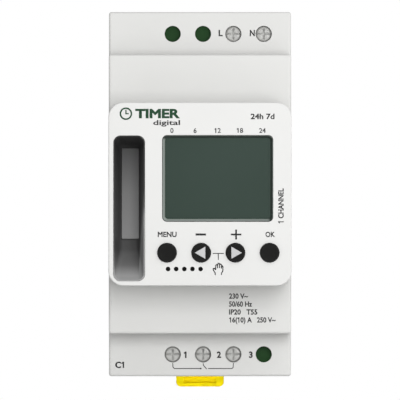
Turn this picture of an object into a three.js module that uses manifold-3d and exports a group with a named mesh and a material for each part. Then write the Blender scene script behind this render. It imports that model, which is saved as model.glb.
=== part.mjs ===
// A digital time switch, 2.5 modules wide, that snaps onto a 35 mm DIN rail.
// Millimetres. X runs to the right and Z up as the user faces the device, and Y runs back
// towards the rail. The origin is the middle of the face that rests on the rail, so the
// front of the device looks along -Y.
import * as THREE from "three";
import { mergeVertices } from "three/addons/utils/BufferGeometryUtils.js";
import Module from "manifold-3d";

const wasm = await Module();
wasm.setup();

// ---------------------------------------------------------------- driving dimensions

const WIDTH = 45;
const HEIGHT = 90;
const WALL = 1.5;
const NOSE = { height: 45, front: -60, corner: 3.6, wall: 1.1 }; // the part that shows through a panel
const SHOULDER = { front: -44, reach: 34.4 }; // the step above and below the nose
const SHELF_FRONT = -36; // the outermost step, over the terminals
const PARTING = -16; // where the front cover meets the rear base
const GAP = 0.3; // parting lines
const SLIP = 0.1; // close fits that don't move
const EDGE = { cover: 0.6, fascia: 0.3, steps: 4 }; // how far the front edges are rounded

const HALF_WIDTH = WIDTH / 2;
const HALF_HEIGHT = HEIGHT / 2;
const HALF_NOSE = NOSE.height / 2;
const INNER_X = HALF_WIDTH - WALL;
const INNER_Z = HALF_HEIGHT - WALL;
const NOSE_INNER = HALF_WIDTH - NOSE.wall;
const FASCIA_BACK = NOSE.front + 1.9;

const FASCIA_RIB = { x: [-11.5, 19], y: [FASCIA_BACK - 0.5, -55], near: 20.2, far: 21.2 };

const RAIL = { half: 17.5, backOfHousing: 5, seatHalf: 15.9, relief: 0.8, upperPlay: 0.4, lowerPlay: 0.7 };
const REAR = { bevel: 2.5, lead: 1.2, hookTip: 16, floor: -2, post: 1.5, postX: 17.5, postZ: 28 };
const REAR_POCKET = { front: -2.5, back: 3.3, top: 42, upperBottom: 22.5, lowerTop: 21.5, inner: 8.8 };
const HOOK_FRONT = 1.6; // the hooks' faces, behind the rail's lips
const SNAP = { z: 30, y: -20, halfHeight: 2.6, halfDepth: 1.3 }; // windows for the rear base's catches
const TONGUE = { inner: 19.6, outer: 20.8, root: 21.1, back: -8, end: -22.5, half: 2.3 };
const CATCH = { start: -21.1, crest: [-19.6, -19.1], reach: 22.1 };

const TERMINAL = { pitch: 7.5, firstX: -6.75, z: 39.6, holeRadius: 2, headRadius: 1.85, shankRadius: 1.45 };
const TERMINAL_X = [0, 1, 2, 3].map((i) => TERMINAL.firstX + i * TERMINAL.pitch);
const CAGE = { halfWidth: 2.95, wall: 0.65, cap: 0.8, near: 37.1, far: 42.1, front: -30.2, back: -21.7 };
const BAR = { front: -27.9, back: -27.1, halfWidth: 2.2, near: 35.6, far: 41.9, leg: 0.8 };
const SCREW = { front: -35.3, neck: -33.5, taper: -28.5, slot: 0.48, cross: 0.4 };
const WIRE_ENTRY = { half: 2.6, front: -27.4, back: -22.2, corner: 0.8 };
// Which of the four positions in each row carries a terminal, and its marking.
const TERMINALS = [
  { mark: "L", x: TERMINAL_X[2], side: 1 },
  { mark: "N", x: TERMINAL_X[3], side: 1 },
  { mark: "1", x: TERMINAL_X[0], side: -1 },
  { mark: "2", x: TERMINAL_X[1], side: -1 },
  { mark: "3", x: TERMINAL_X[2], side: -1 },
];
const BLOCK = { near: 34.2, far: 43.3, front: -33.8, left: -10.5, right: 19.5 };

const DISPLAY_BOARD = { front: -50.9, back: -49.3, halfWidth: 20.9, halfHeight: 19.9 };
const POWER_BOARD = { front: -17, back: -15.4, halfWidth: 19.2, halfHeight: 43 };
const ON_POWER_BOARD = POWER_BOARD.front - SLIP;
const BEHIND_DISPLAY_BOARD = DISPLAY_BOARD.back + SLIP;

const SCREEN = { x: 4.35, z: 3.85, halfWidth: 13.65, halfHeight: 10.65, corner: 1.2, rim: 0.68 };
const LCD = { x: [-10.4, 19.1], y: [-56.8, -54.6], z: [-7.9, 15.6] };
const ZEBRA = { x: [-9, 17.7], z: [-7.6, -6] };
const KEY_BAY = { left: -21.3, right: -13.5, bottom: -21.4, top: 14.4, corner: 1.8, floor: -52 };
const BAY_WALLS = { left: 1.1, right: 0.9, top: 2, scoop: 7.4, rim: 0.25 }; // how far each leans in
const CONTACT_PAD = { x: [-19.3, -15], z: [-11, 11.3], height: 0.7 };
const BUTTON = { radius: 2.3, z: -14.4, proud: 0.8, pitch: 8.4, middle: 4.5, flange: 0.5 };
const BUTTONS = ["menu", "minus", "plus", "ok"].map((name, i) => ({
  name,
  x: BUTTON.middle + (i - 1.5) * BUTTON.pitch,
}));
const SWITCH = { half: 2.25, front: -54.2, bore: 1.45, boreEnd: -52.2, plunger: 1.25 };
const PORT = { count: 5, pitch: 2, firstX: -7.85, z: -18.4, radius: 0.58, margin: 1.1, front: -57.4 };

const CLIP = { halfWidth: 5.95, front: 1.25, back: 4.75, tip: -16.2, end: -48, flange: 7 };
const CLIP_WINDOW = { half: 1.9, bottom: -37.5, top: -23.5 };
const CLIP_POCKET = { half: 4, back: 3.4, bottom: -47.1, top: -45.5 }; // takes a screwdriver blade
const SPRING = { radius: 1.25, wire: 0.45, bottom: -35.6, top: -23.8, turns: 5.5, y: 3 };
const PEG = { radius: 0.7, reach: 0.7 }; // keeps each end of the spring in place

const CELL = { x: -8, z: 4, radius: 10, front: -48.9, back: -45.7 };
const CELL_TAB = { x: [-11, -5], thickness: 0.3, bottom: -4, top: 15 };
const RIBBON = { x: [-10, 2], z: -17.4, bow: 1.2, halfThickness: 0.2 };
const SMOOTHING = { x: -6, z: 10, radius: 4, height: 16 };
const VARISTOR = { x: -13, y: -24, radius: 4.5, z: [19.5, 23.5] };
// Plain packages, each standing on its board.
const DISPLAY_PACKAGES = {
  microcontroller: { x: [6, 16], z: [3, 13], height: 1.4, look: "black" },
  quartz_crystal: { x: [8, 14], z: [-3, -0.6], height: 1.8, look: "steel" },
};
const POWER_PACKAGES = {
  mains_capacitor: { x: [-18.5, -0.5], z: [-12, -3.5], height: 15, look: "yellow" },
  rectifier: { x: [-18, -11], z: [-25, -18.5], height: 2.6, look: "black" },
};

const RELAY = { left: 4, right: 16.7, bottom: -14.5, top: 14.5, front: -33, foot: -19.3, shell: 0.8 };
const RELAY_X = (RELAY.left + RELAY.right) / 2;
const COIL = { y: -26.5, radius: 3.8, core: 1.95, bottom: -2.4, top: 10.4 };
const CHEEK = { half: 4.2, front: -30.3, thickness: 0.7 }; // the flat ends of the bobbin
const IRON = { half: 3.5, thickness: 1.1, front: -31.8, back: -23, bottom: -3.9, top: 12.4 };
const CONTACT = { y: -20.9, radius: 0.75, bladeHalf: 1.5, stripHalf: 1, stripFront: -21.7 };

// ---------------------------------------------------------------- materials

const material = (color, roughness, metalness = 0) =>
  new THREE.MeshStandardMaterial({ color, roughness, metalness });

const MATERIALS = {
  housing: material(0xe2e2df, 0.5),
  fascia: material(0xededeb, 0.45),
  yellow: material(0xf5dc0c, 0.45),
  black: material(0x161616, 0.5),
  charcoal: material(0x3c3c3d, 0.5),
  padGrey: material(0x7c7c7c, 0.6),
  window: material(0xaab4ae, 0.08),
  lcd: material(0x3f4d46, 0.2),
  white: material(0xf2f2ee, 0.6),
  board: material(0x2c5a35, 0.45),
  terminalGreen: material(0x2d4a31, 0.55),
  zinc: material(0xb9b9b6, 0.35, 1),
  copper: material(0xc9a68a, 0.35, 1),
  steel: material(0x9fa2a5, 0.35, 1),
  winding: material(0x9c4a1c, 0.4, 1),
  blue: material(0x2f5fa8, 0.5),
  sleeve: material(0x20242c, 0.4),
};

// ---------------------------------------------------------------- solids

function solidOf(geometry) {
  const bare = geometry.index ? geometry.toNonIndexed() : geometry.clone();
  bare.deleteAttribute("normal");
  bare.deleteAttribute("uv");
  const merged = mergeVertices(bare, 1e-4);
  return new wasm.Manifold(
    new wasm.Mesh({
      numProp: 3,
      vertProperties: merged.attributes.position.array,
      triVerts: new Uint32Array(merged.index.array),
    }),
  );
}

function geometryOf(solid) {
  const mesh = solid.getMesh();
  const geometry = new THREE.BufferGeometry()
    .setAttribute("position", new THREE.BufferAttribute(mesh.vertProperties, 3))
    .setIndex(new THREE.BufferAttribute(mesh.triVerts, 1));
  geometry.computeVertexNormals();
  return geometry;
}

const join = (...solids) => solids.reduce((all, solid) => all.add(solid));
const cut = (solid, ...tools) => tools.reduce((left, tool) => left.subtract(tool), solid);

function box([x0, x1], [y0, y1], [z0, z1]) {
  const geometry = new THREE.BoxGeometry(x1 - x0, y1 - y0, z1 - z0);
  geometry.translate((x0 + x1) / 2, (y0 + y1) / 2, (z0 + z1) / 2);
  return solidOf(geometry);
}

// A shape extruded along one axis. It is drawn in (Y, Z) for x, (X, Z) for y and (X, Y) for z.
function prism(shape, axis, from, to) {
  const drawn = (points) => new THREE.Shape(points.map(([u, v]) => new THREE.Vector2(u, v)));
  const outline = Array.isArray(shape) ? drawn(shape) : shape;
  const geometry = new THREE.ExtrudeGeometry(outline, {
    depth: to - from,
    bevelEnabled: false,
    curveSegments: 8,
  });
  geometry.translate(0, 0, from);
  if (axis === "x")
    geometry.applyMatrix4(
      new THREE.Matrix4().makeBasis(
        new THREE.Vector3(0, 1, 0),
        new THREE.Vector3(0, 0, 1),
        new THREE.Vector3(1, 0, 0),
      ),
    );
  if (axis === "y") {
    geometry.translate(0, 0, -from - to);
    geometry.rotateX(Math.PI / 2);
  }
  return solidOf(geometry);
}

function rod(axis, [a, b], radius, from, to, sides = 24) {
  const geometry = new THREE.CylinderGeometry(radius, radius, to - from, sides);
  const middle = (from + to) / 2;
  if (axis === "y") geometry.translate(a, middle, b); // a is x, b is z
  if (axis === "z") {
    geometry.rotateX(Math.PI / 2);
    geometry.translate(a, b, middle); // a is x, b is y
  }
  return solidOf(geometry);
}

// A turned piece on an axis along Y at (x, z). The profile is a list of [radius, y], front to back.
function turned(profile, x, z, sides = 24) {
  const points = profile.map(([r, y]) => new THREE.Vector2(r, y));
  const geometry = new THREE.LatheGeometry(points, sides);
  geometry.translate(x, 0, z);
  return solidOf(geometry);
}

function roundedRect(x0, x1, z0, z1, r) {
  const shape = new THREE.Shape();
  shape.moveTo(x0 + r, z0);
  shape.lineTo(x1 - r, z0);
  shape.absarc(x1 - r, z0 + r, r, -Math.PI / 2, 0);
  shape.lineTo(x1, z1 - r);
  shape.absarc(x1 - r, z1 - r, r, 0, Math.PI / 2);
  shape.lineTo(x0 + r, z1);
  shape.absarc(x0 + r, z1 - r, r, Math.PI / 2, Math.PI);
  shape.lineTo(x0, z0 + r);
  shape.absarc(x0 + r, z0 + r, r, Math.PI, 1.5 * Math.PI);
  return shape;
}

// The corner points of a rounded rectangle, anticlockwise, always the same number of them.
function roundedOutline([x0, x1, z0, z1], r, steps = 6) {
  const corners = [
    [x1 - r, z0 + r, -0.5],
    [x1 - r, z1 - r, 0],
    [x0 + r, z1 - r, 0.5],
    [x0 + r, z0 + r, 1],
  ];
  return corners.flatMap(([x, z, start]) =>
    Array.from({ length: steps + 1 }, (_, i) => {
      const angle = Math.PI * (start + (0.5 * i) / steps);
      return [x + r * Math.cos(angle), z + r * Math.sin(angle)];
    }),
  );
}

// A solid through convex outlines of equal length, each at its own y, listed front to back.
function loft(levels) {
  const n = levels[0].outline.length;
  const positions = levels.flatMap(({ y, outline }) => outline.flatMap(([x, z]) => [x, y, z]));
  const faces = [];
  for (let level = 0; level + 1 < levels.length; level++)
    for (let i = 0; i < n; i++) {
      const a = level * n + i;
      const b = level * n + ((i + 1) % n);
      faces.push(a, a + n, b, b, a + n, b + n);
    }
  const last = (levels.length - 1) * n;
  for (let i = 1; i + 1 < n; i++) {
    faces.push(0, i, i + 1);
    faces.push(last, last + i + 1, last + i);
  }
  const geometry = new THREE.BufferGeometry()
    .setAttribute("position", new THREE.BufferAttribute(new Float32Array(positions), 3))
    .setIndex(faces);
  return solidOf(geometry);
}

// A slab with rounded corners, whose front edge is rounded all the way round.
function roundedSlab([x0, x1, z0, z1], corner, [front, back], radius) {
  const level = (y, inset) => {
    const edges = [x0 + inset, x1 - inset, z0 + inset, z1 - inset];
    return { y, outline: roundedOutline(edges, corner - inset, 8) };
  };
  const levels = Array.from({ length: EDGE.steps + 1 }, (_, i) => {
    const angle = (0.5 * Math.PI * i) / EDGE.steps;
    return level(front + radius * (1 - Math.cos(angle)), radius * (1 - Math.sin(angle)));
  });
  return loft([...levels, level(back, 0)]);
}

// A span between two distances from the middle, on the upper or right side (1) or the other one (-1).
const span = (side, near, far) => (side > 0 ? [near, far] : [-far, -near]);

const part = new THREE.Group();

function piece(name, solid, look) {
  const mesh = new THREE.Mesh(geometryOf(solid), MATERIALS[look]);
  mesh.name = name;
  part.add(mesh);
}

// ---------------------------------------------------------------- casing

function frontCover() {
  const back = PARTING;
  const step = (reach, front) => {
    const edges = [-HALF_WIDTH, HALF_WIDTH, -reach, reach];
    return roundedSlab(edges, EDGE.cover + 0.05, [front, back], EDGE.cover);
  };
  const body = join(
    step(HALF_HEIGHT, SHELF_FRONT),
    step(SHOULDER.reach, SHOULDER.front),
    prism(
      roundedRect(-HALF_WIDTH, HALF_WIDTH, -HALF_NOSE, HALF_NOSE, NOSE.corner),
      "y",
      FASCIA_BACK + GAP,
      back,
    ),
  );
  const inner = SHOULDER.reach - WALL;
  const nose = roundedRect(-NOSE_INNER, NOSE_INNER, -NOSE_INNER, NOSE_INNER, 2);
  const hollow = join(
    box([-INNER_X, INNER_X], [SHELF_FRONT + WALL, back + 1], [-INNER_Z, INNER_Z]),
    box([-INNER_X, INNER_X], [SHOULDER.front + WALL, back + 1], [-inner, inner]),
    prism(nose, "y", NOSE.front, SHOULDER.front + 2 * WALL),
  );
  const openings = [];
  for (const side of [1, -1]) {
    for (const x of TERMINAL_X) {
      openings.push(screwHole(x, side));
      openings.push(wireEntry(x, side));
    }
    for (const z of [SNAP.z, -SNAP.z]) openings.push(snapWindow(side, z));
  }
  return cut(body, hollow, ...openings);
}

const screwHole = (x, side) =>
  rod("y", [x, side * TERMINAL.z], TERMINAL.holeRadius, SHELF_FRONT - 1, SHELF_FRONT + 3);

function wireEntry(x, side) {
  const { half, front, back, corner } = WIRE_ENTRY;
  const outline = roundedOutline([x - half, x + half, front, back], corner, 2);
  return prism(outline, "z", ...span(side, INNER_Z - 1, HALF_HEIGHT + 1));
}

// A hole through the side wall, in which a catch of the rear base snaps.
function snapWindow(side, z) {
  const { y, halfDepth, halfHeight } = SNAP;
  const across = span(side, INNER_X - 0.1, HALF_WIDTH + 1);
  return box(across, [y - halfDepth, y + halfDepth], [z - halfHeight, z + halfHeight]);
}

function rearBase() {
  const { bevel, lead, hookTip, floor } = REAR;
  const rear = RAIL.backOfHousing;
  const open = PARTING + GAP;
  const deep = -RAIL.relief;
  const upper = RAIL.half + RAIL.upperPlay;
  const lower = RAIL.half + RAIL.lowerPlay;
  const profile = [
    [open, HALF_HEIGHT],
    [open, -HALF_HEIGHT],
    [rear - bevel, -HALF_HEIGHT],
    [rear, -HALF_HEIGHT + bevel],
    [rear, -lower - lead],
    [rear - lead, -lower],
    [deep, -lower],
    [deep, -RAIL.seatHalf],
    [0, -RAIL.seatHalf],
    [0, RAIL.seatHalf],
    [deep, RAIL.seatHalf],
    [deep, upper],
    [HOOK_FRONT, upper],
    [HOOK_FRONT, hookTip],
    [rear - lead, hookTip],
    [rear, hookTip + lead + 0.3],
    [rear, HALF_HEIGHT - bevel],
    [rear - bevel, HALF_HEIGHT],
  ];
  const shell = prism(profile, "x", -HALF_WIDTH, HALF_WIDTH);
  const room = box([-INNER_X, INNER_X], [open - 1, floor], [-INNER_Z, INNER_Z]);
  const fixings = [...clipSpringSeat()];
  for (const side of [1, -1])
    for (const end of [1, -1]) {
      fixings.push(boardPost(side * REAR.postX, end * REAR.postZ));
      fixings.push(snapTongue(side, end * SNAP.z));
    }
  return join(cut(shell, ...clipChannel(), ...rearPockets(), room), ...fixings);
}

// Hollows behind the floor, above the rail and on both sides of the clip.
function rearPockets() {
  const { front, back, top, upperBottom, lowerTop, inner } = REAR_POCKET;
  const upper = box([-INNER_X, INNER_X], [front, back], [upperBottom, top]);
  const lower = [1, -1].map((side) => box(span(side, inner, INNER_X), [front, back], [-top, -lowerTop]));
  return [upper, ...lower];
}

// The stop that the clip's spring pushes against, with a peg that keeps the spring in place.
function clipSpringSeat() {
  const top = SPRING.bottom - GAP;
  const stop = box([-1.4, 1.4], [0.9, 4.4], [top - 1.3, top]);
  const peg = rod("z", [0, SPRING.y], PEG.radius, top - SLIP, SPRING.bottom + PEG.reach, 12);
  return [stop, peg];
}

// The stepped channel for the clip, open at the bottom: wide in front for its flanges.
function clipChannel() {
  const play = 0.25;
  const along = [-HALF_HEIGHT - 1, -17];
  const wide = CLIP.flange + play;
  const narrow = CLIP.halfWidth + play;
  return [
    box([-wide, wide], [1, 2.8], along),
    box([-narrow, narrow], [2.7, RAIL.backOfHousing + 1], along),
  ];
}

function boardPost(x, z) {
  const half = REAR.post;
  return box([x - half, x + half], [POWER_BOARD.back + GAP, 3.5], [z - half, z + half]);
}

// A springy tongue inside the side wall, with the catch that holds the front cover.
function snapTongue(side, z) {
  const { inner, outer, root, back, end, half } = TONGUE;
  const { start, crest, reach } = CATCH;
  const outline = [
    [inner, back],
    [inner, end],
    [outer, end],
    [outer, start],
    [reach, crest[0]],
    [reach, crest[1]],
    [outer, crest[1]],
    [outer, PARTING + GAP],
    [root, PARTING + GAP + SLIP],
    [root, back],
  ];
  const points = outline.map(([x, y]) => [side * x, y]);
  return prism(points, "z", z - half, z + half);
}

function fascia() {
  const edges = [-HALF_WIDTH, HALF_WIDTH, -HALF_NOSE, HALF_NOSE];
  const plate = roundedSlab(edges, NOSE.corner, [NOSE.front, FASCIA_BACK], EDGE.fascia);
  const { x, y, near, far } = FASCIA_RIB;
  const ribs = [1, -1].map((side) => box(x, y, span(side, near, far)));
  const through = [NOSE.front - 1, FASCIA_BACK + 1];
  const screen = roundedRect(
    SCREEN.x - SCREEN.halfWidth,
    SCREEN.x + SCREEN.halfWidth,
    SCREEN.z - SCREEN.halfHeight,
    SCREEN.z + SCREEN.halfHeight,
    SCREEN.corner,
  );
  const bay = roundedRect(KEY_BAY.left, KEY_BAY.right, KEY_BAY.bottom, KEY_BAY.top, KEY_BAY.corner);
  const holes = BUTTONS.map(({ x }) => rod("y", [x, BUTTON.z], BUTTON.radius + 0.15, ...through, 28));
  for (let i = 0; i < PORT.count; i++)
    holes.push(rod("y", [PORT.firstX + i * PORT.pitch, PORT.z], PORT.radius, ...through, 12));
  return cut(join(plate, ...ribs), prism(screen, "y", ...through), prism(bay, "y", ...through), ...holes);
}

// ---------------------------------------------------------------- rail clip and its spring

function railClip() {
  const { halfWidth, front, back, tip, end, flange } = CLIP;
  const plate = prism(
    [
      [front, end],
      [back, end],
      [back, tip - 1.6],
      [back - 1.5, tip],
      [HOOK_FRONT, tip],
      [HOOK_FRONT, tip - 2.4],
      [front, tip - 2.4],
    ],
    "x",
    -halfWidth,
    halfWidth,
  );
  const outline = roundedRect(-halfWidth, halfWidth, end, 0, 1.2);
  const rounded = plate.intersect(prism(outline, "y", 0, 6));
  const flanges = box([-flange, flange], [front, 2.55], [-40.5, -19.5]);
  const hole = ({ half, bottom, top }, depth) => box([-half, half], [0, depth], [bottom, top]);
  const window = hole(CLIP_WINDOW, 6);
  const pocket = hole(CLIP_POCKET, CLIP_POCKET.back);
  const peg = rod("z", [0, SPRING.y], PEG.radius, SPRING.top - PEG.reach, CLIP_WINDOW.top + GAP, 12);
  return join(cut(join(rounded, flanges), window, pocket), peg);
}

function clipSpring() {
  class Helix extends THREE.Curve {
    getPoint(t, target = new THREE.Vector3()) {
      const angle = 2 * Math.PI * SPRING.turns * t;
      const half = SPRING.wire / 2;
      const z = THREE.MathUtils.lerp(SPRING.bottom + half, SPRING.top - half, t);
      return target.set(SPRING.radius * Math.cos(angle), SPRING.y + SPRING.radius * Math.sin(angle), z);
    }
  }
  const section = new THREE.Shape();
  section.absarc(0, 0, SPRING.wire / 2, 0, 2 * Math.PI);
  const geometry = new THREE.ExtrudeGeometry(section, {
    extrudePath: new Helix(),
    steps: SPRING.turns * 10,
    curveSegments: 3,
    bevelEnabled: false,
  });
  return solidOf(geometry);
}

// ---------------------------------------------------------------- display

function displayWindow() {
  const { x, z, halfWidth, halfHeight, corner, rim } = SCREEN;
  const outline = (inset, radius) => {
    const width = halfWidth - inset;
    const height = halfHeight - inset;
    return roundedOutline([x - width, x + width, z - height, z + height], radius);
  };
  const level = (y, inset, radius) => ({ y, outline: outline(inset, radius) });
  const pane = loft([level(NOSE.front + 0.08, SLIP, corner - SLIP), level(-57.4, SLIP, corner - SLIP)]);
  const flange = loft([level(FASCIA_BACK + 0.2, -1, corner), level(-57, -1, corner)]);
  // The pane lies below the front face, inside a sloping rim.
  const pocket = loft([
    level(NOSE.front - 0.2, SLIP, corner - SLIP),
    level(NOSE.front + 0.75, rim, 0.6),
  ]);
  return cut(join(pane, flange), pocket);
}

const lcdPanel = () => box(LCD.x, LCD.y, LCD.z);

// The frame that holds the display off the board, with a light window and a slot for the contacts.
function lcdHolder() {
  const grown = ([from, to], by) => [from - by, to + by];
  const deep = [LCD.y[0] - 1.2, DISPLAY_BOARD.front + 0.9];
  const frame = box(grown(LCD.x, 1.2), [LCD.y[0], DISPLAY_BOARD.front - 0.2], grown(LCD.z, 1.2));
  const seat = box(grown(LCD.x, 0.2), [LCD.y[0] - 0.7, LCD.y[1] + SLIP], grown(LCD.z, 0.2));
  const lightWindow = box([-8, 16.7], deep, [-4, 13.5]);
  const stripSlot = box(grown(ZEBRA.x, 0.2), deep, grown(ZEBRA.z, 0.2));
  return cut(frame, seat, lightWindow, stripSlot);
}

const zebraStrip = () => box(ZEBRA.x, [LCD.y[1] + 0.2, DISPLAY_BOARD.front - 0.2], ZEBRA.z);

function displayBoard() {
  const { front, back, halfWidth, halfHeight } = DISPLAY_BOARD;
  return box([-halfWidth, halfWidth], [front, back], [-halfHeight, halfHeight]);
}

// The moulding behind the five small holes.
function servicePort() {
  const { firstX, count, pitch, z, margin, front } = PORT;
  const lastX = firstX + (count - 1) * pitch;
  const across = [firstX - margin, lastX + margin];
  return box(across, [front, DISPLAY_BOARD.front - SLIP], [z - margin, z + margin]);
}

// ---------------------------------------------------------------- key bay

// The bay's walls lean in towards its floor, and its lower end is a ramp for a fingertip.
function keyBayTray() {
  const { left, right, bottom, top, corner, floor } = KEY_BAY;
  const { rim } = BAY_WALLS;
  const outer = roundedOutline([left + SLIP, right - SLIP, bottom + SLIP, top - SLIP], corner - SLIP);
  const body = loft([
    { y: NOSE.front + 0.1, outline: outer },
    { y: floor + 0.8, outline: outer },
  ]);
  const steps = 6;
  const pocket = Array.from({ length: steps + 1 }, (_, i) => {
    const depth = i / steps;
    const edges = [
      left + rim + BAY_WALLS.left * depth,
      right - rim - BAY_WALLS.right * depth,
      bottom + rim + BAY_WALLS.scoop * depth ** 1.3,
      top - rim - BAY_WALLS.top * depth,
    ];
    return {
      y: THREE.MathUtils.lerp(NOSE.front, floor, depth),
      outline: roundedOutline(edges, corner - rim - 0.7 * depth),
    };
  });
  pocket.unshift({ y: NOSE.front - 1, outline: pocket[0].outline });
  return cut(body, loft(pocket));
}

function keyContactBlock() {
  const outline = roundedOutline([...CONTACT_PAD.x, ...CONTACT_PAD.z], 0.3, 3);
  return loft([
    { y: KEY_BAY.floor - CONTACT_PAD.height, outline },
    { y: KEY_BAY.floor - 0.05, outline },
  ]);
}

// ---------------------------------------------------------------- push buttons and their switches

function buttonCap(x) {
  const front = NOSE.front - BUTTON.proud;
  const r = BUTTON.radius;
  const flange = { r: r + BUTTON.flange, front: -57.6, back: -56.8 };
  const stem = { r: 1.3, back: -55.1 };
  const profile = [
    [0, front],
    [r - 0.3, front],
    [r, front + 0.3],
    [r, flange.front],
    [flange.r, flange.front],
    [flange.r, flange.back],
    [stem.r, flange.back],
    [stem.r, stem.back],
    [0, stem.back],
  ];
  return turned(profile, x, BUTTON.z, 28);
}

const switchPlunger = (x) => rod("y", [x, BUTTON.z], SWITCH.plunger, -55, -52.9, 20);

function tactSwitch(x) {
  const { half, front, bore, boreEnd } = SWITCH;
  const height = [BUTTON.z - half, BUTTON.z + half];
  const body = box([x - half, x + half], [front, DISPLAY_BOARD.front - SLIP], height);
  return cut(body, rod("y", [x, BUTTON.z], bore, front - 1, boreEnd, 20));
}

// ---------------------------------------------------------------- electronics

const packageBehindDisplay = ({ x, z, height }) =>
  box(x, [BEHIND_DISPLAY_BOARD, BEHIND_DISPLAY_BOARD + height], z);

const packageOnPowerBoard = ({ x, z, height }) => box(x, [ON_POWER_BOARD - height, ON_POWER_BOARD], z);

const lithiumCell = () => rod("y", [CELL.x, CELL.z], CELL.radius, CELL.front, CELL.back, 32);

// A strap over the cell and a leg down to the board.
function cellTabs() {
  const { x, thickness, bottom, top } = CELL_TAB;
  const strapFront = CELL.back + SLIP;
  const strapBack = strapFront + thickness;
  const strap = box(x, [strapFront, strapBack], [bottom, top]);
  const leg = box(x, [BEHIND_DISPLAY_BOARD, strapBack], [top - thickness, top]);
  return join(strap, leg);
}

// The flat cable between the boards, which sags a little.
function boardLink() {
  const { x, z, bow, halfThickness } = RIBBON;
  const steps = 12;
  const line = Array.from({ length: steps + 1 }, (_, i) => [
    THREE.MathUtils.lerp(BEHIND_DISPLAY_BOARD, ON_POWER_BOARD, i / steps),
    z - bow * Math.sin((Math.PI * i) / steps),
  ]);
  const below = line.map(([u, v]) => [u, v - halfThickness]);
  const above = line.reverse().map(([u, v]) => [u, v + halfThickness]);
  return prism([...below, ...above], "x", ...x);
}

function powerBoard() {
  const { front, back, halfWidth, halfHeight } = POWER_BOARD;
  return box([-halfWidth, halfWidth], [front, back], [-halfHeight, halfHeight]);
}

function smoothingCapacitor() {
  const { x, z, radius, height } = SMOOTHING;
  return rod("y", [x, z], radius, ON_POWER_BOARD - height, ON_POWER_BOARD);
}

const varistor = () => rod("z", [VARISTOR.x, VARISTOR.y], VARISTOR.radius, ...VARISTOR.z);

// ---------------------------------------------------------------- relay

const relayBase = () =>
  box([RELAY.left, RELAY.right], [RELAY.foot, ON_POWER_BOARD], [RELAY.bottom, RELAY.top]);

function relayCover() {
  const { left, right, bottom, top, front, foot, shell } = RELAY;
  return cut(
    box([left, right], [front, foot - SLIP], [bottom, top]),
    box([left + shell, right - shell], [front + shell, foot + 1], [bottom + shell, top - shell]),
  );
}

// The bobbin, its cheeks and the winding, around the core.
function relayCoil() {
  const { y, radius, core, bottom, top } = COIL;
  const winding = rod("z", [RELAY_X, y], radius, bottom, top);
  const across = [RELAY_X - CHEEK.half, RELAY_X + CHEEK.half];
  const cheek = (z) => box(across, [CHEEK.front, RELAY.foot - SLIP], [z, z + CHEEK.thickness]);
  const bore = rod("z", [RELAY_X, y], core + 0.15, -5, 15, 20);
  return cut(join(winding, cheek(bottom - 0.6), cheek(top - SLIP)), bore);
}

// The iron circuit that doesn't move: the core and an L round the coil.
function relayYoke() {
  const { half, thickness, front, back, bottom, top } = IRON;
  const across = [RELAY_X - half, RELAY_X + half];
  const core = rod("z", [RELAY_X, COIL.y], COIL.core, bottom + 0.5, top - 0.4, 20);
  const end = box(across, [front, back], [top - thickness, top]);
  const leg = box(across, [front, front + thickness], [bottom, top]);
  return join(core, end, leg);
}

const relayArmature = () =>
  box([RELAY_X - IRON.half, RELAY_X + IRON.half], [IRON.front + 0.1, -21.9], [-5.2, -4.2]);

function relayContactBlade() {
  const { y, radius, bladeHalf } = CONTACT;
  const strip = box([RELAY_X - bladeHalf, RELAY_X + bladeHalf], [-30.5, -20.1], [-5.75, -5.45]);
  const rivet = rod("z", [RELAY_X, y], radius, -6.3, -4.95, 12);
  return join(strip, rivet);
}

// A strip that stands on the relay's base and carries a contact rivet.
function fixedContact(stripZ, rivetZ) {
  const { y, radius, stripHalf, stripFront } = CONTACT;
  const across = [RELAY_X - stripHalf, RELAY_X + stripHalf];
  const strip = box(across, [stripFront, RELAY.foot - SLIP], stripZ);
  return join(strip, rod("z", [RELAY_X, y], radius, ...rivetZ, 12));
}

const relayMakeContact = () => fixedContact([-3.9, -3.5], [-4, -3.6]);
const relayBreakContact = () => fixedContact([-7.2, -6.8], [-6.9, -6.4]);

// ---------------------------------------------------------------- terminals

// The moulded block that holds one row of terminals. A position with no terminal stays solid.
function terminalBlock(side) {
  const { near, far, front, left, right } = BLOCK;
  const body = box([left, right], [front, ON_POWER_BOARD], span(side, near, far));
  const here = TERMINALS.filter((terminal) => terminal.side === side);
  return cut(body, ...here.flatMap(({ x }) => terminalPockets(x, side)));
}

// The room for one terminal's cage, its contact bar and its wire.
function terminalPockets(x, side) {
  const play = 0.2;
  const across = (half) => [x - half, x + half];
  const cage = span(side, CAGE.near - play, CAGE.far + play);
  return [
    box(across(CAGE.halfWidth + play), [BLOCK.front - 1, CAGE.back + 2 * play], cage),
    box(across(2.35), [BAR.front - play, POWER_BOARD.front], span(side, BAR.near - play, CAGE.near)),
    box(across(2.4), [-27.2, -22.4], span(side, CAGE.far, BLOCK.far + 1)),
  ];
}

function terminalScrew({ x, side }) {
  const { headRadius: head, shankRadius: shank } = TERMINAL;
  const { front, neck, taper, slot, cross } = SCREW;
  const z = side * TERMINAL.z;
  const end = BAR.front - SLIP;
  const profile = [
    [0, front],
    [head - 0.2, front],
    [head, front + 0.2],
    [head, neck],
    [shank, neck],
    [shank, taper],
    [shank - 0.45, end],
    [0, end],
  ];
  const groove = (halfX, halfZ, depth) =>
    box([x - halfX, x + halfX], [front - 0.7, front + depth], [z - halfZ, z + halfZ]);
  return cut(turned(profile, x, z, 20), groove(head, slot / 2, 0.8), groove(cross / 2, 1.25, 1));
}

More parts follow.
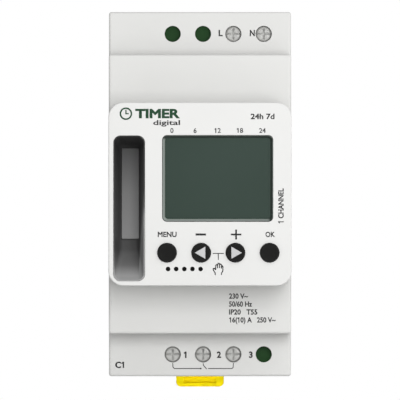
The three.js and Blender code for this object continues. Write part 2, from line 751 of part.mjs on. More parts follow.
// The rising cage: turning the screw draws it forward and squeezes the wire against the bar.
function clampCage({ x, side }) {
  const { halfWidth, wall, cap, near, far, front, back } = CAGE;
  const inner = halfWidth - wall;
  const outer = box([x - halfWidth, x + halfWidth], [front, back], span(side, near, far));
  const opening = box([x - inner, x + inner], [front + cap, back - cap], span(side, near - 1, far + 1));
  const hole = rod("y", [x, side * TERMINAL.z], TERMINAL.shankRadius + 0.15, front - 1, front + 2);
  return cut(outer, opening, hole);
}

// The fixed contact, from under the screw to the board.
function contactBar({ x, side }) {
  const { front, back, halfWidth, near, far, leg } = BAR;
  const across = [x - halfWidth, x + halfWidth];
  const plate = box(across, [front, back], span(side, near, far));
  const foot = box(across, [front, ON_POWER_BOARD], span(side, near, near + leg));
  return join(plate, foot);
}

// ---------------------------------------------------------------- assembly

piece("rear_base", rearBase(), "housing");
piece("front_cover", frontCover(), "housing");
piece("fascia", fascia(), "fascia");
piece("rail_clip", railClip(), "yellow");
piece("clip_spring", clipSpring(), "steel");

piece("display_window", displayWindow(), "window");
piece("lcd_panel", lcdPanel(), "lcd");
piece("lcd_holder", lcdHolder(), "white");
piece("zebra_strip", zebraStrip(), "charcoal");
piece("display_board", displayBoard(), "board");
piece("service_port", servicePort(), "black");

piece("key_bay_tray", keyBayTray(), "charcoal");
piece("key_contact_block", keyContactBlock(), "padGrey");

for (const { name, x } of BUTTONS) {
  piece(`${name}_button`, buttonCap(x), "black");
  piece(`${name}_plunger`, switchPlunger(x), "white");
  piece(`${name}_switch`, tactSwitch(x), "steel");
}

for (const [name, dimensions] of Object.entries(DISPLAY_PACKAGES))
  piece(name, packageBehindDisplay(dimensions), dimensions.look);
piece("lithium_cell", lithiumCell(), "steel");
piece("cell_tabs", cellTabs(), "zinc");
piece("board_link", boardLink(), "padGrey");

piece("power_board", powerBoard(), "board");
for (const [name, dimensions] of Object.entries(POWER_PACKAGES))
  piece(name, packageOnPowerBoard(dimensions), dimensions.look);
piece("smoothing_capacitor", smoothingCapacitor(), "sleeve");
piece("varistor", varistor(), "blue");

piece("relay_base", relayBase(), "black");
piece("relay_cover", relayCover(), "blue");
piece("relay_coil", relayCoil(), "winding");
piece("relay_yoke", relayYoke(), "steel");
piece("relay_armature", relayArmature(), "steel");
piece("relay_contact_blade", relayContactBlade(), "copper");
piece("relay_make_contact", relayMakeContact(), "copper");
piece("relay_break_contact", relayBreakContact(), "copper");

piece("terminal_block_upper", terminalBlock(1), "terminalGreen");
piece("terminal_block_lower", terminalBlock(-1), "terminalGreen");
for (const terminal of TERMINALS) {
  piece(`terminal_screw_${terminal.mark}`, terminalScrew(terminal), "zinc");
  piece(`clamp_cage_${terminal.mark}`, clampCage(terminal), "zinc");
  piece(`contact_bar_${terminal.mark}`, contactBar(terminal), "copper");
}

export default part;
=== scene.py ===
"""A digital time switch for a DIN rail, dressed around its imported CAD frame.

Lengths are metres in the CAD's own frame: X to the user's right, Z up, and the front faces -Y.
Sizes below are written in millimetres and multiplied by MM.
"""

import math

import bmesh
import bpy
from mathutils import Matrix, Vector


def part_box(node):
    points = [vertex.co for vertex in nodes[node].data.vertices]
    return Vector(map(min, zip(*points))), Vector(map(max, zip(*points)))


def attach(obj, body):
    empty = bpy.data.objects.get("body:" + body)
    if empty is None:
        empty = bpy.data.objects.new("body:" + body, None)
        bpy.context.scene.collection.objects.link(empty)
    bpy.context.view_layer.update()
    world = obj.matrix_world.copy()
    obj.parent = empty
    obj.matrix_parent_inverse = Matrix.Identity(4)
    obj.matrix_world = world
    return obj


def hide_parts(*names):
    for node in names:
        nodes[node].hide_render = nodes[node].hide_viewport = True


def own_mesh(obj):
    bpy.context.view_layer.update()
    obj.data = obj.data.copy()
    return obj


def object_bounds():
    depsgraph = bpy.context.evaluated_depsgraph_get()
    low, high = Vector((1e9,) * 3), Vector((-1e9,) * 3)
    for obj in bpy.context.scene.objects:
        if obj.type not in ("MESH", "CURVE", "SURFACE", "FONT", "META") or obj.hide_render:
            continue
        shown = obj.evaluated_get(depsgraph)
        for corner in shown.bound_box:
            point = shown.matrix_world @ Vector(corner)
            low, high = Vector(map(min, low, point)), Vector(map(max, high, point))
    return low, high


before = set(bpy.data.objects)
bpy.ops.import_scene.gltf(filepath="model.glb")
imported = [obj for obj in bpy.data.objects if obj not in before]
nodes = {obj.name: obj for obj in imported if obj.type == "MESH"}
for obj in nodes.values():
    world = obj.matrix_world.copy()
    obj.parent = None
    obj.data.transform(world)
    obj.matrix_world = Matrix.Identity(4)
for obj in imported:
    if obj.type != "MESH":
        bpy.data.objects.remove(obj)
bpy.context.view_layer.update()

MM = 0.001
CASE = "case"

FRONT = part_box("fascia")[0].y  # the front face of the nose
SHELF = -36 * MM  # the front faces of the terminal shelves
SHOULDER = -44 * MM  # the front faces of the shoulders
TERMINALS = ("L", "N", "1", "2", "3")
KEYS = ("menu", "minus", "plus", "ok")
# The bay's painted light grows paler up its right wall between these two places.
BAY_WALL = (-15 * MM, -14.1 * MM)  # the right wall of the key bay, from its foot to its rim
HOLED = ("front_cover", "lcd_holder", "terminal_block_upper", "terminal_block_lower")


def centre(node):
    """The middle of a CAD node's box."""
    low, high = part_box(node)
    return (low + high) / 2


# ---------------------------------------------------------------- materials


def connect(tree, value, socket):
    """Links a node's output to an input socket, or sets the socket to a plain value."""
    if isinstance(value, bpy.types.NodeSocket):
        tree.links.new(value, socket)
    else:
        socket.default_value = value


def shader_node(tree, kind, **inputs):
    """A new node, with each input that is named linked or set."""
    made = tree.nodes.new(kind)
    for name, value in inputs.items():
        connect(tree, value, made.inputs[name.replace("_", " ")])
    return made


def math_node(tree, operation, *terms):
    """The output of a math node on its terms, in order."""
    made = tree.nodes.new("ShaderNodeMath")
    made.operation = operation
    for term, socket in zip(terms, made.inputs):
        connect(tree, term, socket)
    return made.outputs["Value"]


def colour_ramp(tree, factor, *stops):
    """The output of a colour ramp. Each stop is (position, colour)."""
    made = shader_node(tree, "ShaderNodeValToRGB", Fac=factor)
    elements = made.color_ramp.elements
    while len(elements) < len(stops):
        elements.new(0.5)
    for element, (position, colour) in zip(elements, stops):
        element.position = position
        element.color = (*colour, 1)
    return made.outputs["Color"]


class Look:
    """A Principled material and short ways to wire procedural detail into it."""

    def __init__(self, name, roughness, metallic=0.0, **sockets):
        self.material = bpy.data.materials.new(name)
        self.material.use_nodes = True
        self.tree = self.material.node_tree
        self.shader = self.tree.nodes["Principled BSDF"]
        self.shader.inputs["Roughness"].default_value = roughness
        self.shader.inputs["Metallic"].default_value = metallic
        for socket, value in sockets.items():
            self.shader.inputs[socket.replace("_", " ")].default_value = value
        self.place = self.tree.nodes.new("ShaderNodeTexCoord").outputs["Object"]

    def node(self, kind, **inputs):
        return shader_node(self.tree, kind, **inputs)

    def noise(self, scale, detail=2.0, roughness=0.5):
        return self.node(
            "ShaderNodeTexNoise", Vector=self.place, Scale=scale, Detail=detail, Roughness=roughness
        ).outputs["Fac"]

    def ramp(self, factor, *stops):
        return colour_ramp(self.tree, factor, *stops)

    def colour(self, output):
        self.tree.links.new(output, self.shader.inputs["Base Color"])

    def vary_roughness(self, factor, low, high):
        made = self.node("ShaderNodeMapRange", Value=factor, To_Min=low, To_Max=high)
        self.tree.links.new(made.outputs["Result"], self.shader.inputs["Roughness"])

    def bump(self, height, distance):
        made = self.node("ShaderNodeBump", Height=height, Distance=distance, Strength=1.0)
        self.tree.links.new(made.outputs["Normal"], self.shader.inputs["Normal"])


def shade(colour, factor):
    """A colour made darker or lighter."""
    return tuple(channel * factor for channel in colour)


def moulded(name, colour, roughness=0.5, spread=0.02, grain=0.012, **sockets):
    """Moulded plastic: a fine eroded texture, and a faint mottle from the flow of the melt."""
    look = Look(name, roughness, **sockets)
    mottle = look.noise(70, 3)
    look.colour(look.ramp(mottle, (0.3, shade(colour, 1 - spread)), (0.7, shade(colour, 1 + spread))))
    texture = look.noise(5200, 2, 0.6)
    look.vary_roughness(texture, roughness - 0.06, roughness + 0.06)
    look.bump(texture, grain * MM)
    return look.material


def painted_bay_shading(name, bottom, top, *greys):
    """Grey plastic of the key bay with painted shading: painted light makes it paler towards its lower end
    and its right wall, and painted shade makes it darker towards its upper end.

    Each grey is (share of the height from bottom to top, grey).
    """
    look = Look(name, 0.5, Specular_IOR_Level=0.35)
    place = look.node("ShaderNodeSeparateXYZ", Vector=look.place).outputs
    foot, rim = BAY_WALL
    lowered = -0.45  # painted light on the right wall: its rim is as pale as the plastic this share of the height lower
    wall = look.node("ShaderNodeMapRange", Value=place["X"], From_Min=foot, From_Max=rim, To_Max=lowered)
    height = look.node("ShaderNodeMapRange", Value=place["Z"], From_Min=bottom, From_Max=top)
    share = math_node(look.tree, "ADD", wall.outputs["Result"], height.outputs["Result"])
    look.colour(look.ramp(share, *((stop, (grey,) * 3) for stop, grey in greys)))
    texture = look.noise(5200, 2, 0.6)
    look.vary_roughness(texture, 0.44, 0.56)
    look.bump(texture, 0.01 * MM)
    return look.material


def metal(name, colour, roughness, streaks=(1, 1, 1), metallic=1.0):
    """Plated or drawn metal, with fine marks that may run along one axis and patchy brightness."""
    look = Look(name, roughness, metallic)
    stretched = look.node("ShaderNodeMapping", Vector=look.place, Scale=streaks).outputs["Vector"]
    marks = look.node("ShaderNodeTexNoise", Vector=stretched, Scale=900.0, Detail=3.0).outputs["Fac"]
    look.colour(look.ramp(marks, (0.3, shade(colour, 0.82)), (0.7, colour)))
    look.vary_roughness(marks, roughness - 0.08, roughness + 0.1)
    look.bump(marks, 0.01 * MM)
    return look.material


def board_material():
    """Green solder mask with the faint relief of the tracks under it."""
    look = Look("board", 0.35, Coat_Weight=0.5, Coat_Roughness=0.2)
    tracks = look.node("ShaderNodeTexBrick", Vector=look.place, Scale=190, Mortar_Size=0.12)
    tracks.inputs["Color1"].default_value = (0.012, 0.095, 0.03, 1)
    tracks.inputs["Color2"].default_value = (0.015, 0.11, 0.035, 1)
    tracks.inputs["Mortar"].default_value = (0.02, 0.16, 0.055, 1)
    look.colour(tracks.outputs["Color"])
    look.bump(tracks.outputs["Fac"], 0.03 * MM)
    return look.material


def display_material():
    """The dark grey-green of a reflective display that is switched off, behind a polished pane."""
    look = Look("display", 0.3, Specular_IOR_Level=0.3, Coat_Weight=0.15, Coat_Roughness=0.05)
    cloud = look.noise(28, 1)
    look.colour(look.ramp(cloud, (0.3, (0.019, 0.034, 0.026)), (0.7, (0.022, 0.038, 0.03))))
    fine = look.noise(2500, 2)
    look.vary_roughness(fine, 0.26, 0.34)
    return look.material


def edge_with_painted_light():
    """The sloping edge of a clear pane, with painted light and shade: painted light makes it pale where it
    faces up or right, and painted shade makes it dark elsewhere.
    """
    look = Look("rim", 0.3, Specular_IOR_Level=0.4)
    normal = look.tree.nodes.new("ShaderNodeTexCoord").outputs["Normal"]
    lit = look.node("ShaderNodeVectorMath", Vector=normal)
    lit.operation = "DOT_PRODUCT"
    # the way the painted light comes from: up and to the right
    lit.inputs[1].default_value = (0.75, 0, 0.65)
    share = look.node("ShaderNodeMapRange", Value=lit.outputs["Value"], From_Min=0.05, From_Max=0.6)
    look.colour(look.ramp(share.outputs["Result"], (0, (0.03, 0.038, 0.033)), (1, (0.27, 0.3, 0.28))))
    look.vary_roughness(look.noise(2500, 2), 0.26, 0.34)
    return look.material


def ink(name, colour):
    """Pad-printed ink, a little uneven."""
    look = Look(name, 0.45)
    patches = look.noise(2600, 3)
    look.colour(look.ramp(patches, (0.3, shade(colour, 0.85)), (0.75, shade(colour, 1.15))))
    look.bump(patches, 0.004 * MM)
    return look.material


def winding_material():
    """Enamelled wire, wound side by side along Z."""
    look = Look("winding", 0.3, metallic=0.8)
    turns = look.node("ShaderNodeTexWave", Vector=look.place, Scale=1400, Distortion=0.4)
    turns.bands_direction = "Z"
    look.colour(look.ramp(turns.outputs["Fac"], (0.2, (0.16, 0.035, 0.01)), (0.8, (0.52, 0.15, 0.04))))
    look.bump(turns.outputs["Fac"], 0.05 * MM)
    return look.material


LOOKS = {
    "housing": moulded("housing", (0.565, 0.565, 0.553), 0.5, 0.012),
    "fascia": moulded("fascia", (0.56, 0.56, 0.551), 0.48, 0.008, 0.008),
    "yellow": moulded("yellow", (0.97, 0.79, 0.001), 0.6, 0.02, Specular_IOR_Level=0.05),
    "key_black": moulded("key_black", (0.004, 0.004, 0.0037), 0.42, 0.1, Specular_IOR_Level=0.22),
    "key_mark": moulded("key_mark", (0.41, 0.41, 0.415), 0.4, 0.05),
    # The greys of the bay and the pad are painted shade at the upper end and painted light at the lower
    # end.
    "bay": painted_bay_shading("bay", -20 * MM, 12 * MM, (0, 0.3), (0.08, 0.13), (0.2, 0.052), (1, 0.025)),
    "bay_pad": painted_bay_shading("bay_pad", -11 * MM, 11 * MM, (0, 0.2), (0.5, 0.15), (1, 0.06)),
    "rim": edge_with_painted_light(),
    "display": display_material(),
    "terminal_green": moulded("terminal_green", (0.009, 0.044, 0.009), 0.5, 0.08, Specular_IOR_Level=0.3),
    "black": moulded("black", (0.012, 0.012, 0.012), 0.5, 0.1),
    "white": moulded("white", (0.78, 0.78, 0.76), 0.5, 0.02),
    "zinc": metal("zinc", (0.62, 0.62, 0.6), 0.34, metallic=0.6),
    "pressed": metal("pressed", (0.62, 0.62, 0.6), 0.33, (1, 1, 0.15)),
    "copper": metal("copper", (0.72, 0.52, 0.38), 0.32, (1, 0.2, 1)),
    "spring": metal("spring", (0.52, 0.53, 0.54), 0.28),
    "iron": metal("iron", (0.44, 0.44, 0.44), 0.4),
    "board": board_material(),
    "winding": winding_material(),
    "blue": moulded("blue", (0.03, 0.13, 0.42), 0.35, 0.06, Coat_Weight=0.3),
    "film": moulded("film", (0.78, 0.55, 0.03), 0.35, 0.05, Coat_Weight=0.3),
    "sleeve": moulded("sleeve", (0.016, 0.02, 0.03), 0.3, 0.1, 0.004, Coat_Weight=0.4),
    "ribbon": moulded("ribbon", (0.34, 0.34, 0.35), 0.5, 0.05),
    "ink_dark": ink("ink_dark", (0.009, 0.009, 0.0095)),
    "ink_grey": ink("ink_grey", (0.015, 0.015, 0.016)),
    "ink_green": ink("ink_green", (0.001, 0.036, 0.011)),
}

# ---------------------------------------------------------------- pieces


def piece(name, mesh, look, body=CASE, replaces=()):
    """An object of the visual model, which rides a body and may stand in for CAD nodes."""
    made = bpy.data.objects.new(name, mesh)
    bpy.context.scene.collection.objects.link(made)
    mesh.materials.clear()
    mesh.materials.append(LOOKS[look])
    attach(made, body)
    if replaces:
        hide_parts(*replaces)
    return made


def mesh_from(name, work):
    """A smooth-shaded mesh with sharp creases, from a bmesh that it uses up."""
    bmesh.ops.recalc_face_normals(work, faces=work.faces)
    mesh = bpy.data.meshes.new(name)
    work.to_mesh(mesh)
    work.free()
    mesh.polygons.foreach_set("use_smooth", [True] * len(mesh.polygons))
    mesh.set_sharp_from_angle(angle=math.radians(35))
    return mesh


def face_weighted(target):
    """Bends a piece's normals on its rounded edges only, so that its flat faces look flat."""
    normals = target.modifiers.new("normals", "WEIGHTED_NORMAL")
    normals.weight = 90
    return normals


def soften(target, width, segments=2, angle=30):
    """Rounds the edges of a closed piece by width, where they turn by more than angle."""
    bevel = target.modifiers.new("edges", "BEVEL")
    bevel.width = width
    bevel.segments = segments
    bevel.limit_method = "ANGLE"
    bevel.angle_limit = math.radians(angle)
    bevel.miter_outer = "MITER_ARC"
    face_weighted(target).keep_sharp = True


def shading_group():
    """Geometry nodes that drop the imported normals and shade smooth."""
    group = bpy.data.node_groups.new("shade_smooth", "GeometryNodeTree")
    for way in ("INPUT", "OUTPUT"):
        group.interface.new_socket("Geometry", in_out=way, socket_type="NodeSocketGeometry")
    start = group.nodes.new("NodeGroupInput")
    drop = group.nodes.new("GeometryNodeRemoveAttribute")
    drop.inputs["Name"].default_value = "custom_normal"
    smooth = group.nodes.new("GeometryNodeSetShadeSmooth")
    end = group.nodes.new("NodeGroupOutput")
    for source, target in ((start, drop), (drop, smooth), (smooth, end)):
        group.links.new(source.outputs[0], target.inputs[0])
    return group


SHADING = shading_group()


def dress(node, look, width, segments=2, angle=30):
    """Gives a CAD node its material, and rounds its edges by width.

    The triangles of each flat face are joined first, unless one of its faces has several holes.
    """
    shown = nodes[node]
    shown.data.materials.clear()
    shown.data.materials.append(LOOKS[look])
    shown.modifiers.new("shading", "NODES").node_group = SHADING
    weld = shown.modifiers.new("weld", "WELD")
    weld.merge_threshold = 0.001 * MM
    if node not in HOLED:
        flat = shown.modifiers.new("flat", "DECIMATE")
        flat.decimate_type = "DISSOLVE"
        flat.angle_limit = math.radians(0.5)
    soften(shown, width, segments, angle)


def outline(x0, x1, z0, z1, radius, steps=8):
    """A rounded rectangle's points, anticlockwise as the user sees it."""
    corners = ((x1, z0, -1, 1), (x1, z1, -1, -1), (x0, z1, 1, -1), (x0, z0, 1, 1))
    points = []
    for turn, (x, z, sx, sz) in enumerate(corners):
        for step in range(steps + 1):
            angle = math.pi / 2 * (turn - 1 + step / steps)
            points.append((x + radius * (sx + math.cos(angle)), z + radius * (sz + math.sin(angle))))
    return points


def loft(name, levels, close=True):
    """A solid through outlines of equal length, each at its own y. Each level is (y, points)."""
    work = bmesh.new()
    rings = [[work.verts.new((x, y, z)) for x, z in points] for y, points in levels]
    for low, high in zip(rings, rings[1:]):
        for i in range(len(low)):
            j = (i + 1) % len(low)
            work.faces.new((low[i], low[j], high[j], high[i]))
    if close:
        work.faces.new(rings[0])
        work.faces.new(rings[-1])
    return mesh_from(name, work)


def ring_loft(name, levels):
    """A closed ring through outlines of equal length: the last level joins the first."""
    return loft(name, [*levels, levels[0]], close=False)


def lathe(name, profile, segments=48):
    """A turned solid about Y. The profile is (radius, y) from front to back, on the axis at each end."""
    work = bmesh.new()
    rows = []
    for radius, y in profile:
        if radius == 0:
            rows.append([work.verts.new((0, y, 0))])
            continue
        angles = (2 * math.pi * i / segments for i in range(segments))
        rows.append([work.verts.new((radius * math.cos(a), y, radius * math.sin(a))) for a in angles])
    for low, high in zip(rows, rows[1:]):
        for i in range(segments):
            j = (i + 1) % segments
            corners = [low[i % len(low)], low[j % len(low)], high[j % len(high)], high[i % len(high)]]
            work.faces.new(list(dict.fromkeys(corners)))
    return mesh_from(name, work)


def box_mesh(name, low, high):
    """A plain box, used to cut others."""
    work = bmesh.new()
    bmesh.ops.create_cube(work, size=1)
    size = Vector(high) - Vector(low)
    place = Matrix.Translation((Vector(low) + Vector(high)) / 2) @ Matrix.Diagonal((*size, 1))
    bmesh.ops.transform(work, matrix=place, verts=work.verts)
    return mesh_from(name, work)


def baked(mesh, name, *set_up):
    """A mesh with modifiers applied. Each set_up function adds one to the object that it is given."""
    holder = bpy.data.objects.new("holder", mesh)
    bpy.context.scene.collection.objects.link(holder)
    for add in set_up:
        add(holder)
    bpy.context.view_layer.update()
    graph = bpy.context.evaluated_depsgraph_get()
    result = bpy.data.meshes.new_from_object(holder.evaluated_get(graph))
    result.name = name
    bpy.data.objects.remove(holder)
    return result


def cut_away(mesh, name, *tools):
    """The mesh with the tools' meshes cut out of it."""
    cutters = []
    for tool in tools:
        cutter = bpy.data.objects.new("cutter", tool)
        bpy.context.scene.collection.objects.link(cutter)
        cutters.append(cutter)

    def add(holder):
        for cutter in cutters:
            modifier = holder.modifiers.new("cut", "BOOLEAN")
            modifier.operation = "DIFFERENCE"
            modifier.solver = "EXACT"
            modifier.object = cutter

    result = baked(mesh, name, add)
    for cutter in cutters:
        bpy.data.objects.remove(cutter)
    return result


# ---------------------------------------------------------------- prints

INK = 0.02 * MM  # how far a print stands off its surface


def lettering(text, weight=0.0):
    """A line of text one unit high in the X-Y plane, from -1 to 1 in Z. Weight thickens its strokes."""
    curve = bpy.data.curves.new("text", "FONT")
    curve.body = text
    curve.resolution_u = 4
    curve.extrude = 0.01
    curve.bevel_depth = weight
    curve.bevel_resolution = 0
    mesh = baked(curve, "text")
    for vertex in mesh.vertices:
        vertex.co.z /= curve.extrude + weight
    return mesh


def extent(mesh, axis):
    """A mesh's least and greatest place along an axis."""
    values = [vertex.co[axis] for vertex in mesh.vertices]
    return min(values), max(values)


CAP = extent(lettering("H"), 1)[1]  # the height of a capital
STROKE = 0.09  # the width of the font's own stroke


def flags(string, weight):
    """The small slanted strokes at the heads of the ones, which the built-in font draws as bars."""
    made = []
    for i, character in enumerate(string):
        if character == "1":
            _, right = extent(lettering(string[: i + 1], weight), 0)
            thick = STROKE + 2 * weight
            head = (right - 0.6 * thick, CAP - 0.45 * thick + weight)
            foot = (head[0] - 0.2, CAP * 0.74)
            made.append(ribbon([foot, head], 0.85 * thick, 1))
    return made


def printed(name, shape, surface, look):
    """A print from a shape in the X-Y plane, in metres, whose Z runs from -1 to 1. It faces -Y."""
    for vertex in shape.vertices:
        vertex.co = Vector((vertex.co.x, surface - vertex.co.z * INK, vertex.co.y))
    shape.name = name
    piece(name, shape, look)


def text(
    name, string, x, z, cap, surface, look="ink_dark", width=None, align="left", weight=0.022, turn=0
):
    """A printed line of text, in millimetres. x is its left end, or its middle, and z its baseline.

    Cap is the height of its capitals, weight thickens its strokes, and turn is in degrees.
    """
    shape = merged(lettering(string, weight), *flags(string, weight))
    low, high = extent(shape, 0)
    tall = cap * MM / CAP
    wide = width * MM / (high - low) if width else tall
    start = low if align == "left" else (low + high) / 2
    turned = Matrix.Rotation(math.radians(turn), 4, "Z")
    for vertex in shape.vertices:
        local = turned @ Vector(((vertex.co.x - start) * wide, vertex.co.y * tall, vertex.co.z))
        vertex.co = local + Vector((x * MM, z * MM, 0))
    printed(name, shape, surface, look)


def slab(work):
    """Thickens the flat faces of a mesh being made, so that they run from -1 to 1 in Z."""
    for vertex in work.verts:
        vertex.co.z = -1
    grown = bmesh.ops.extrude_face_region(work, geom=work.faces[:])
    for item in grown["geom"]:
        if isinstance(item, bmesh.types.BMVert):
            item.co.z = 1
    return mesh_from("slab", work)


def ribbon(points, width, unit=MM):
    """A line of constant width through points, in millimetres or another unit, as a slab."""
    work = bmesh.new()
    half = width / 2
    path = [Vector(point) for point in points]
    sides = []
    for i, point in enumerate(path):
        before = (point - path[i - 1]).normalized() if i else (path[1] - point).normalized()
        after = (path[i + 1] - point).normalized() if i + 1 < len(path) else before
        along = (before + after).normalized()
        across = Vector((-along.y, along.x)) / max(0.4, along.dot(before))
        sides.append([work.verts.new((*((point + across * s) * unit), 0)) for s in (-half, half)])
    for (a, b), (c, d) in zip(sides, sides[1:]):
        work.faces.new((a, c, d, b))
    return slab(work)


def merged(*meshes):
    """One mesh from several."""
    work = bmesh.new()
    for mesh in meshes:
        work.from_mesh(mesh)
    return mesh_from("merged", work)


def disc(x, z, radius):
    """A round dot, in millimetres, as a slab."""
    work = bmesh.new()
    bmesh.ops.create_circle(work, cap_ends=True, segments=24, radius=radius * MM)
    bmesh.ops.translate(work, vec=(x * MM, z * MM, 0), verts=work.verts)
    return slab(work)


def arc(x, z, radius, start, end, steps):
    """Points along an arc. Start and end are in degrees."""
    angles = (math.radians(start + (end - start) * i / steps) for i in range(steps + 1))
    return [(x + radius * math.cos(a), z + radius * math.sin(a)) for a in angles]


# ---------------------------------------------------------------- casing

dress("rear_base", "housing", 0.4 * MM, segments=3)
dress("rail_clip", "yellow", 0.4 * MM, segments=3)
# The CAD has already rounded the large front edges of these two.
dress("front_cover", "housing", 0.12 * MM, angle=40)
dress("fascia", "fascia", 0.12 * MM, angle=40)

# ---------------------------------------------------------------- display


def display_lens():
    """The clear pane's sloping rim, around the dark display that fills it."""
    low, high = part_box("display_window")
    flange = 1.1 * MM  # how far the CAD pane reaches under the fascia all round

    def level(y, step, radius):
        """An outline y behind the front face, and step inside the fascia's opening."""
        inset = flange + step * MM
        points = outline(low.x + inset, high.x - inset, low.z + inset, high.z - inset, radius * MM)
        return FRONT + y * MM, points

    rim = ring_loft(
        "window_rim",
        [
            level(0.16, 0, 1.1),
            level(0.10, 0.06, 1.05),
            level(0.12, 0.14, 1.0),
            level(0.95, 0.62, 0.75),
            level(2.0, 0.64, 0.75),
            level(2.0, 0, 1.1),
        ],
    )
    piece("window_rim", rim, "rim", replaces=["display_window"])
    face = loft("display_face", [level(0.9, 0.5, 0.85), level(2.0, 0.5, 0.85)])
    piece("display_face", face, "display")


display_lens()

# ---------------------------------------------------------------- key bay


def key_bay():
    """The bay's tray: walls that lean in towards its floor, and a scoop at its lower end."""
    low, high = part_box("key_bay_tray")
    rim, set_back, floor_thickness = 0.2 * MM, 0.02 * MM, 0.8 * MM
    lean = 0.9 * MM  # how far each side wall comes in, and twice that at the upper end
    scoop = 7.4 * MM  # how far the lower wall comes in, half as a slope and half as a round
    corner_rim, corner_floor, corner_outer = 1.55 * MM, 1.2 * MM, 1.7 * MM
    corner_steps = 10
    depth = high.y - low.y - floor_thickness
    levels = 24
    pocket = []
    for i in range(levels + 1):
        share = i / levels
        fillet = (1 - math.sqrt(1 - share**5)) * MM
        inset = rim + lean * share + fillet
        z0 = low.z + rim + scoop * (0.5 * share + 0.5 * (1 - math.sqrt(1 - share * share)))
        z1 = high.z - inset - lean * share
        corner = corner_rim + (corner_floor - corner_rim) * share
        points = outline(low.x + inset, high.x - inset, z0, z1, corner, corner_steps)
        pocket.append((low.y + set_back + depth * share, points))
    outer = outline(low.x, high.x, low.z, high.z, corner_outer, corner_steps)
    mesh = loft("bay_tray", [(high.y, outer), (low.y, outer), *pocket])
    piece("bay_tray", mesh, "bay", replaces=["key_bay_tray"])


key_bay()
dress("key_contact_block", "bay_pad", 0.15 * MM)

# ---------------------------------------------------------------- keys


def key_cap(name):
    """A round key with a rounded rim and a slightly dished top, and an arrow on the middle two."""
    node = f"{name}_button"
    low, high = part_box(node)
    middle = centre(node)
    top = low.y
    radius, flange, stem = 2.3 * MM, 2.8 * MM, 1.3 * MM
    flange_front, flange_back = high.y - 2.5 * MM, high.y - 1.7 * MM
    dish = ((0, 0.1), (1.2, 0.07), (1.9, 0.02))  # (radius, depth) in millimetres
    profile = [(r * MM, top + depth * MM) for r, depth in dish]
    edge_radius, edge_steps = 0.32 * MM, 6
    for i in range(edge_steps + 1):
        angle = math.pi / 2 * i / edge_steps
        inward = edge_radius * (1 - math.sin(angle))
        back = edge_radius * (1 - math.cos(angle))
        profile.append((radius - inward, top + back))
    profile += [
        (radius, flange_front),
        (flange, flange_front),
        (flange, flange_back),
        (stem, flange_back),
        (stem, high.y),
        (0, high.y),
    ]
    mesh = lathe(f"{name}_cap", profile)
    cap = piece(f"{name}_cap", mesh, "key_black", f"{name}_key", [node])
    cap.location = (middle.x, 0, middle.z)
    face_weighted(cap)
    if name in ("minus", "plus"):
        key_arrow(name, middle, top)


def key_arrow(name, middle, top):
    """The raised pale triangle that points away from the other arrow key."""
    way = -1 if name == "minus" else 1
    tip, back, half = 1.6 * MM, 1.0 * MM, 1.5 * MM
    proud, sunk = 0.05 * MM, 0.3 * MM
    corners = ((tip * way, 0), (-back * way, half), (-back * way, -half))
    points = [(middle.x + x, middle.z + z) for x, z in corners]
    mesh = loft(f"{name}_arrow", [(top - proud, points), (top + sunk, points)])
    arrow = piece(f"{name}_arrow", mesh, "key_mark", f"{name}_key")
    soften(arrow, 0.06 * MM)


for key in KEYS:
    key_cap(key)
    dress(f"{key}_plunger", "white", 0.1 * MM)
    dress(f"{key}_switch", "pressed", 0.1 * MM)

# ---------------------------------------------------------------- terminals


def screw_head(mark):
    """A terminal screw with a combined slot and cross, and a chamfered rim."""
    node = f"terminal_screw_{mark}"
    low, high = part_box(node)
    middle = centre(node)
    top = low.y
    neck, thread = top + 1.8 * MM, top + 2.2 * MM  # the head's underside, and the thread's start
    shank, tip = 1.45 * MM, 1.0 * MM
    pitch, thread_depth, turns = 0.6 * MM, 0.25 * MM, 8
    head = ((0, 0), (1.35, 0), (1.62, 0.05), (1.85, 0.28))  # (radius, depth) in millimetres
    profile = [(r * MM, top + depth * MM) for r, depth in head]
    profile += [(profile[-1][0], neck), (shank, neck)]
    for i in range(turns):
        start = thread + i * pitch
        profile += [(shank, start), (shank - thread_depth, start + pitch / 2)]
    profile += [(tip, high.y), (0, high.y)]

    def groove(name, half_x, half_z, depth):
        """A cutter through the head's face, in millimetres."""
        corner = Vector((half_x * MM, 0, half_z * MM))
        return box_mesh(name, Vector((0, top - MM, 0)) - corner, Vector((0, top + depth * MM, 0)) + corner)

    grooves = groove("slot", 2, 0.28, 1.1), groove("cross", 0.24, 1.35, 1.3)
    mesh = cut_away(lathe("screw", profile, 36), f"screw_{mark}", *grooves)
    made = piece(f"screw_{mark}", mesh, "zinc", f"screw_{mark}", [node])
    made.location = (middle.x, 0, middle.z)
    soften(made, 0.05 * MM, 2, 35)


for mark in TERMINALS:
    screw_head(mark)
    dress(f"clamp_cage_{mark}", "pressed", 0.2 * MM)
    dress(f"contact_bar_{mark}", "copper", 0.15 * MM)
for row in ("upper", "lower"):
    dress(f"terminal_block_{row}", "terminal_green", 0.15 * MM)

# ---------------------------------------------------------------- clip spring


